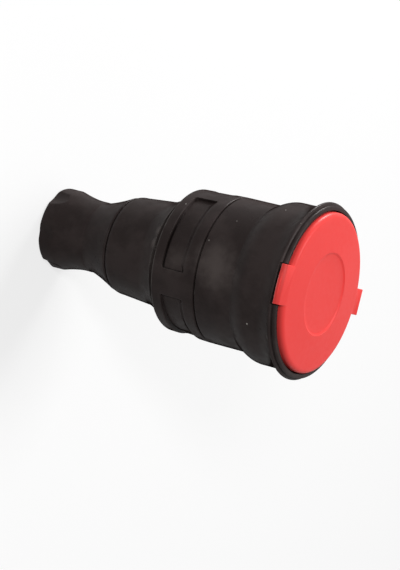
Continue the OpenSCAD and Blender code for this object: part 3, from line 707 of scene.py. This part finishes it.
def makeFrontSleeve():
    p = frontSleeve
    grip, band, rim, lip = p["gripRadius"], p["bandRadius"], p["rimRadius"], p["lip"]
    edge, ridge, bead, mouth = p["footEdge"], p["ridge"], p["bead"], p["mouthEdge"]
    outline = arcPoints(grip - edge, p["foot"] + edge, edge, -90, 0, 6)
    outline += linePoints(grip, p["foot"] + 1, grip, p["swellStart"] - 0.35, 10)
    outline += swellPoints(grip, p["swellStart"], band, p["swellEnd"], 24)
    outline += linePoints(band, p["swellEnd"] + 0.4, band, lip - p["bandTop"], 4)
    flareEnd = (rim - p["flareInset"], lip - p["flareTop"])
    outline += flarePoints(band, lip - p["flareFoot"], *flareEnd, p["flarePower"], 24)
    outline += arcPoints(rim - ridge, lip - p["ridgeDepth"], ridge, -20, 65, 10)
    outline += arcPoints(rim - p["grooveInset"], lip - p["grooveDepth"], p["groove"], 200, 160, 3)
    outline += arcPoints(rim - p["beadInset"] - bead, lip - bead, bead, 0, 90, 10)
    outline += arcPoints(p["lipInside"] + mouth, lip - mouth, mouth, 90, 180, 5)
    outline += [(p["lipInside"], p["flangeTop"]), (p["insideRadius"], p["flangeTop"])]
    outline += [(p["insideRadius"], p["foot"])]
    hingeX, hingeZ = p["hinge"]
    notchHalf, tabHalf = p["notchHalfWidth"], p["tabHalfWidth"]
    tabGap = plainBox((p["lipInside"] - 1, -tabHalf, p["tabGapFoot"]), (rim + 3, tabHalf, lip + 4))
    bm = carve(turnProfile(outline, p["steps"]), [
        ("DIFFERENCE", rodAlongY(hingeX, hingeZ, p["notchRadius"], -notchHalf, notchHalf)),
        ("DIFFERENCE", tabGap),
    ])
    finishPiece("frontSleeveRubber", bm, "rubber", "socket", ["front_sleeve"])


makeFrontSleeve()
print("stage: front sleeve")


# Rear sleeve: middle section, shoulder and four grip pockets

rearSleeve = {
    "foot": 29.65, "top": 69.65, "footEdge": (0.9, 2.2), "topEdge": 0.45, "draft": 0.02, "steps": 720,
    "middleRadius": 17.1, "middleTop": (18.15, 43.9), "neckTop": (20.4, 49.2), "neckPower": 1.35,
    "shoulderRoot": (20.85, 50.1), "brow": (24.55, 53.3), "rootRadius": 0.9, "browRadius": 1.2,
    "gripRadius": 25.15, "gripFoot": 54.0, "gripTop": 68.75,
    # the inside: bore, cone and the flange at the foot
    "insideRadius": 21.6, "insideFoot": 53.35, "coneFoot": (14.5, 44.35), "flangeTop": 32.0,
    "flangeBore": 10.9,
    # angles in degrees, and the radius at which a pocket's width is measured
    "pockets": 4, "pocketStart": 121.5, "pocketAngle": 68.5, "pocketRadius": 24.875,
    "pocketFoot": 56.6, "pocketTop": 65.8, "pocketDepth": 1.2, "pocketCorner": 1.1,
    # only the skin outside this radius is dented
    "skinRadius": 23.5,
    # widths of a pocket's walls, and the share of their depth that is a straight slope
    "sideWall": 0.45, "rearWall": 0.5, "frontWall": 2.6, "straightSlope": 0.35,
    # painted shade in the pockets: where on the wall it starts and how fast it comes, its reach beyond a
    # side and an end wall, its least amount, and the angles between which it grows
    "paintedShadeStart": 0.25, "paintedShadeRise": 0.4, "paintedShadeReach": (0.5, 0.3), "paintedShadeLeast": 0.35,
    "paintedShadeTurn": (-18, 7),
    # radius, height and reach of the two rings with a painted highlight
    "paintedHighlightRings": [(20.9, 50.1, 0.45), (24.4, 53.35, 0.4)],
}


def smoothStep(value):
    value = min(1.0, max(0.0, value))
    return value * value * (3 - 2 * value)


def between(low, high, share):
    return low + (high - low) * share


def pocketDent(angle, z):
    p = rearSleeve
    pitch = 360 / p["pockets"]
    turn = (angle - p["pocketStart"]) % pitch - p["pocketAngle"] / 2
    towards = math.radians(angle - turn)
    across = abs(math.radians(turn)) * p["pocketRadius"]
    halfAcross = math.radians(p["pocketAngle"] / 2) * p["pocketRadius"]
    middle = (p["pocketFoot"] + p["pocketTop"]) / 2
    half = (p["pocketTop"] - p["pocketFoot"]) / 2
    corner = p["pocketCorner"]
    dx, dz = across - halfAcross + corner, abs(z - middle) - half + corner
    outside = math.hypot(max(dx, 0), max(dz, 0)) + min(max(dx, dz), 0) - corner
    # 0 at the pocket's sides and 1 at its ends
    atEnd = smoothStep((dz - dx) / 2 + 0.5)
    wall = between(p["sideWall"], p["frontWall"] if z > middle else p["rearWall"], atEnd)
    along = -outside / wall
    beyond = (-outside - wall) / between(*p["paintedShadeReach"], atEnd)
    # painted shade on the walls and a little beyond them, weaker at one end of the pocket's arc and none
    # on the front wall
    paintedShade = smoothStep((along - p["paintedShadeStart"]) / p["paintedShadeRise"]) * (1 - smoothStep(beyond))
    turnLow, turnHigh = p["paintedShadeTurn"]
    paintedShade *= between(p["paintedShadeLeast"], 1, smoothStep((turn - turnLow) / (turnHigh - turnLow)))
    if z > middle:
        paintedShade *= 1 - atEnd
    depth = p["pocketDepth"] * between(smoothStep(along), min(max(along, 0), 1), p["straightSlope"])
    return Vector((depth * math.cos(towards), depth * math.sin(towards), 0)), paintedShade


def gripHeights():
    p = rearSleeve
    foot, top = p["pocketFoot"], p["pocketTop"]
    # from, to and number of steps, which are closest on the pockets' end walls
    marks = [
        (p["gripFoot"], foot - 0.1, 5), (foot, foot + 1.1, 11), (foot + 1.4, top - 2.8, 14),
        (top - p["frontWall"], top, 14), (top + 0.3, p["gripTop"], 5),
    ]
    return [low + (high - low) * i / count for low, high, count in marks for i in range(count + 1)]


def makeRearSleeve():
    p = rearSleeve
    middle, edge, draft = p["middleRadius"], p["topEdge"], p["draft"]
    roundR, roundZ = p["footEdge"]
    gripTop = (p["gripRadius"] - draft, p["gripTop"])
    outline = ellipsePoints(middle - roundR, p["foot"] + roundZ, roundR, roundZ, -90, 0, 10)
    outline += linePoints(middle + draft, p["foot"] + roundZ + 0.6, *p["middleTop"], 9)
    outline += flarePoints(*p["middleTop"], *p["neckTop"], p["neckPower"], 12)
    outline += filletPoints(p["neckTop"], p["shoulderRoot"], p["brow"], p["rootRadius"], 7)
    outline += filletPoints(p["shoulderRoot"], p["brow"], gripTop, p["browRadius"], 8)
    (startR, startZ), (endR, endZ) = outline[-1], gripTop
    for height in gripHeights():
        outline.append((between(startR, endR, (height - startZ) / (endZ - startZ)), height))
    outline += arcPoints(p["gripRadius"] - edge, p["top"] - edge, edge, 0, 90, 6)
    coneRadius, coneFoot = p["coneFoot"]
    outline += [
        (p["insideRadius"], p["top"]), (p["insideRadius"], p["insideFoot"]), (coneRadius, coneFoot),
        (coneRadius, p["flangeTop"]), (p["flangeBore"], p["flangeTop"]), (p["flangeBore"], p["foot"]),
    ]
    bm = turnProfile(outline, p["steps"])
    paintedShadeLayer = bm.verts.layers.float.new("paintedShade")
    paintedHighlightLayer = bm.verts.layers.float.new("paintedHighlight")
    for vertex in bm.verts:
        radius = math.hypot(vertex.co.x, vertex.co.y) / mm
        z = vertex.co.z / mm
        # painted highlight rings along the shoulder's root and brow
        for ringRadius, ringHeight, reach in p["paintedHighlightRings"]:
            away = math.hypot(radius - ringRadius, z - ringHeight)
            vertex[paintedHighlightLayer] = max(vertex[paintedHighlightLayer], 1 - smoothStep(away / reach))
        if radius < p["skinRadius"] or not p["pocketFoot"] < z < p["pocketTop"]:
            continue
        angle = math.degrees(math.atan2(vertex.co.y, vertex.co.x))
        # the dent, and the painted shade on its walls
        dent, vertex[paintedShadeLayer] = pocketDent(angle, z)
        vertex.co -= dent * mm
    finishPiece("rearSleeveRubber", bm, "rubber", "socket", ["rear_sleeve"], 55)


makeRearSleeve()
print("stage: rear sleeve")


# Gland nut: flared neck, parting step, waist and scalloped collar

glandNut = {
    "top": 29.15, "neckRadius": 16.35, "waistRadius": 12.25, "collarRadius": 14.05, "stepHeight": 17.2,
    "footEdge": 1.3, "topEdge": 0.35, "collarTop": 4.0, "crest": 5.2, "waistTop": 14.6,
    "waistPower": 1.6, "neckPower": 1.3, "steps": 288,
    # the parting step's curve, out from the waist and up from the step's height
    "stepCurve": [(0.15, -0.3), (0.12, -0.12), (0.03, 0.02), (0.0, 0.15)],
    # the inside: entry, cone round the seal and bore
    "entryRadius": 6.4, "entryEdge": 0.5, "entryTop": 8.8, "coneFoot": (7.35, 9.4), "coneTop": (9.1, 15.2),
    "boreRadius": 10.8, "boreFoot": 16.8,
    # each scallop is a leaning cylinder's cut; only the skin outside the radius and below the top is cut
    "scallops": 6, "scallopDepth": 0.8, "scallopRadius": 10.0, "scallopTilt": 8.0, "scallopMiddle": 3.5,
    "scallopTurn": 134.0, "scallopBlend": 0.25, "skinRadius": 10.5, "skinTop": 16.0,
}


def scallopReach(angle, z):
    p = glandNut
    pitch = 360 / p["scallops"]
    turn = math.radians((angle - p["scallopTurn"] + pitch / 2) % pitch - pitch / 2)
    radius = p["scallopRadius"]
    away = p["collarRadius"] - p["scallopDepth"] + radius
    away += math.tan(math.radians(p["scallopTilt"])) * (z - p["scallopMiddle"])
    across = away * math.sin(turn)
    if abs(across) >= radius:
        return math.inf
    return away * math.cos(turn) - math.sqrt(radius * radius - across * across)


def makeGlandNut():
    p = glandNut
    collar, waist, neck, step = p["collarRadius"], p["waistRadius"], p["neckRadius"], p["stepHeight"]
    entry, entryEdge, footEdge, topEdge = p["entryRadius"], p["entryEdge"], p["footEdge"], p["topEdge"]
    stepCurve = [(waist + out, step + up) for out, up in p["stepCurve"]]
    outline = arcPoints(entry + entryEdge, entryEdge, entryEdge, 180, 270, 6)
    outline += linePoints(entry + 1.2, 0, collar - footEdge - 0.3, 0, 5)
    outline += arcPoints(collar - footEdge, footEdge, footEdge, -90, 0, 10)
    outline += linePoints(collar, footEdge + 0.3, collar, p["collarTop"], 6)
    waistCurve = flarePoints(stepCurve[0][0], p["waistTop"], collar, p["crest"], p["waistPower"], 26)
    outline += waistCurve[::-1] + stepCurve
    outline += flarePoints(waist, step + 0.3, neck, p["top"] - 0.5, p["neckPower"], 28)
    outline += arcPoints(neck - topEdge, p["top"] - topEdge, topEdge, 20, 90, 5)
    outline += [(p["boreRadius"], p["top"]), (p["boreRadius"], p["boreFoot"])]
    outline += [p["coneTop"], p["coneFoot"], (entry, p["entryTop"])]
    bm = turnProfile(outline, p["steps"])
    for vertex in bm.verts:
        radius = math.hypot(vertex.co.x, vertex.co.y) / mm
        z = vertex.co.z / mm
        if radius < p["skinRadius"] or z > p["skinTop"]:
            continue
        cut = scallopReach(math.degrees(math.atan2(vertex.co.y, vertex.co.x)), z)
        share = smoothStep((radius - cut) / p["scallopBlend"] / 2 + 0.5)
        if share > 0:
            wanted = between(radius, cut, share)
            vertex.co.x *= wanted / radius
            vertex.co.y *= wanted / radius
    finishPiece("glandNutRubber", bm, "rubber", "socket", ["gland_nut"], 50)


makeGlandNut()
print("stage: gland nut")


# Lid: disc with a rounded edge and a shallow recess, hinge block and finger tab

lid = {
    "radius": 27.1, "face": 104.7, "foot": 101.75, "under": 102.9, "edge": 1.6, "footEdge": 0.1,
    "ringTop": 105.2, "ringFoot": 104.72, "recessRadius": 14.0, "recessDepth": 0.4, "recessSlope": 0.5,
    "skirtRadius": 25.6, "collarOut": 19.3, "collarIn": 17.7, "collarFoot": 100.2, "collarEdge": 0.2,
    "steps": 240,
    # the block over the hinge, with the place of its crest from its back and from the pin
    "hinge": (-28.5, 103.0), "hingeHalfWidth": 6.55, "blockFront": -24.7, "blockBack": -30.1,
    "blockCrest": (0.6, 1.25), "blockGap": 0.3, "blockGapReach": 1.8, "softEdge": 0.28,
    # the ledge behind it, with the radii of its lower and upper edges and how far in and up a painted
    # highlight reaches on its lower outer edge
    "ledgeFoot": 102.05, "ledgeTop": 103.1, "ledgeRadius": 30.4, "ledgeEdges": (0.15, 0.18),
    "paintedHighlightEdge": (0.5, 0.2),
    # distances from the middle along the pin, and radii round it
    "knuckleOut": 4.15, "lugOut": 5.65, "springRoom": 2.4, "pinRadius": 0.7, "knuckleRadius": 1.05,
    "springRadius": 1.2,
    # outline of the room for the insert's lugs, from the pin
    "lugRoom": [(0, 0), (-0.6, -0.42), (-2.6, -1.49), (-2.6, -4), (4, -4)],
    "tabHalfWidth": 4.5, "tabReach": 31.2, "tabTop": 104.2, "tabHeight": 1.6, "tabSoftEdge": 0.224,
    "tabNib": 1.0, "tabGroove": 0.3,
}


def makeLidDisc():
    p = lid
    radius, foot, edge, footEdge = p["radius"], p["foot"], p["edge"], p["footEdge"]
    recess, slope, top = p["recessRadius"], p["recessSlope"], p["ringTop"]
    dip = top - p["recessDepth"]
    collarOut, collarIn = p["collarOut"], p["collarIn"]
    collarFoot, collarEdge = p["collarFoot"], p["collarEdge"]
    outline = linePoints(0, dip, recess - slope - 0.2, dip, 10)
    outline += easePoints(recess - slope, dip, recess, top, 8)[1:]
    outline += linePoints(recess + 0.25, top, radius - edge - 0.4, p["ringFoot"], 10)
    outline += arcPoints(radius - edge, p["face"] - edge, edge, 84, 0, 12)
    outline += [(radius, foot + footEdge), (radius - footEdge, foot), (p["skirtRadius"], foot)]
    outline += [(p["skirtRadius"], p["under"]), (collarOut, p["under"])]
    outline += [(collarOut, collarFoot + collarEdge), (collarOut - collarEdge, collarFoot)]
    outline += [(collarIn + collarEdge, collarFoot), (collarIn, collarFoot + collarEdge)]
    outline += [(collarIn, p["under"]), (0, p["under"])]
    return turnProfile(outline, p["steps"], closed=False)


def makeHingeBlock():
    p = lid
    x, z = p["hinge"]
    half, front, back = p["hingeHalfWidth"], p["blockFront"], p["blockBack"]
    crestIn, crestUp = p["blockCrest"]
    block = prismAlongY([
        (front, p["ringFoot"]), (back + crestIn, z + crestUp), (back, p["ledgeTop"]),
        (back, p["ledgeFoot"]), (x, p["ledgeFoot"]), (x, p["under"]), (front, p["under"])], -half, half)
    return roundEdges(block, p["softEdge"])


def makeLedge():
    p = lid
    foot, top, reach, half = p["ledgeFoot"], p["ledgeTop"], p["ledgeRadius"], p["hingeHalfWidth"]
    low, high = p["ledgeEdges"]
    outline = [(20, foot)] + arcPoints(reach - low, foot + low, low, -90, 0, 3)
    outline += [(reach, foot + 2 * low)]
    outline += arcPoints(reach - high, top - high, high, 0, 90, 3) + [(20, top)]
    # a piece of a turned ring, so that it follows the rim behind the block
    strip = plainBox((-40, -half, 100), (p["blockBack"] + 0.5, half, 106))
    return carve(turnProfile(outline, p["steps"]), [("INTERSECT", strip)])


def makeFingerTab():
    p = lid
    root, reach, top, half = p["radius"] - 2, p["tabReach"], p["tabTop"], p["tabHalfWidth"]
    foot, nib, groove = top - p["tabHeight"], p["tabNib"], p["tabGroove"]
    tab = prismAlongY([
        (root, foot), (reach, foot), (reach, top), (reach - nib, top),
        (reach - nib - groove, top - groove), (root, top)], -half, half)
    return roundEdges(tab, p["tabSoftEdge"])


def makeLid():
    p = lid
    x, z = p["hinge"]
    half, gap, under = p["hingeHalfWidth"], p["blockGap"], p["under"]
    room, knuckle = p["springRoom"], p["knuckleRadius"]
    lugRoom = [(x + out, z + up) for out, up in p["lugRoom"]]
    lugRoom += [(lugRoom[-1][0], under), (x, under)]
    skirtGap = plainBox(
        (-p["radius"] - 2, -half - gap, p["foot"] - 1),
        (p["blockGapReach"] - p["radius"], half + gap, under))
    steps = [
        ("DIFFERENCE", skirtGap),
        ("UNION", makeHingeBlock()),
        ("UNION", makeLedge()),
        ("UNION", makeFingerTab()),
    ]
    for side in (-1, 1):
        steps.append(("UNION", rodAlongY(x, z, knuckle, side * room, side * p["knuckleOut"])))
    for side in (-1, 1):
        inside, outside = side * p["knuckleOut"], side * p["lugOut"]
        steps.append(("DIFFERENCE", rodAlongY(x, z, knuckle, inside, outside)))
        steps.append(("DIFFERENCE", prismAlongY(lugRoom, inside, outside)))
    steps += [
        ("DIFFERENCE", rodAlongY(x, z, p["springRadius"], -room, room)),
        ("DIFFERENCE", plainBox((x, -room, z - 3), (x + 4, room, under))),
        ("DIFFERENCE", plainBox((x - 1.2, -room, p["ledgeFoot"] - 1), (x + 0.25, room, z))),
        ("DIFFERENCE", rodAlongY(x, z, p["pinRadius"], -2 * half, 2 * half)),
    ]
    bm = carve(makeLidDisc(), steps)
    # a painted highlight along the ledge's lower outer edge
    paintedHighlightIn, paintedHighlightUp = p["paintedHighlightEdge"]
    paintedHighlightLayer = bm.verts.layers.float.new("paintedHighlight")
    for vertex in bm.verts:
        behind = vertex.co.x < (paintedHighlightIn - p["ledgeRadius"]) * mm
        if behind and vertex.co.z < (p["ledgeFoot"] + paintedHighlightUp) * mm:
            vertex[paintedHighlightLayer] = 1.0
    finishPiece("lidShell", bm, "lid_plastic", "lid", ["lid"], 30)


makeLid()
print("stage: lid")
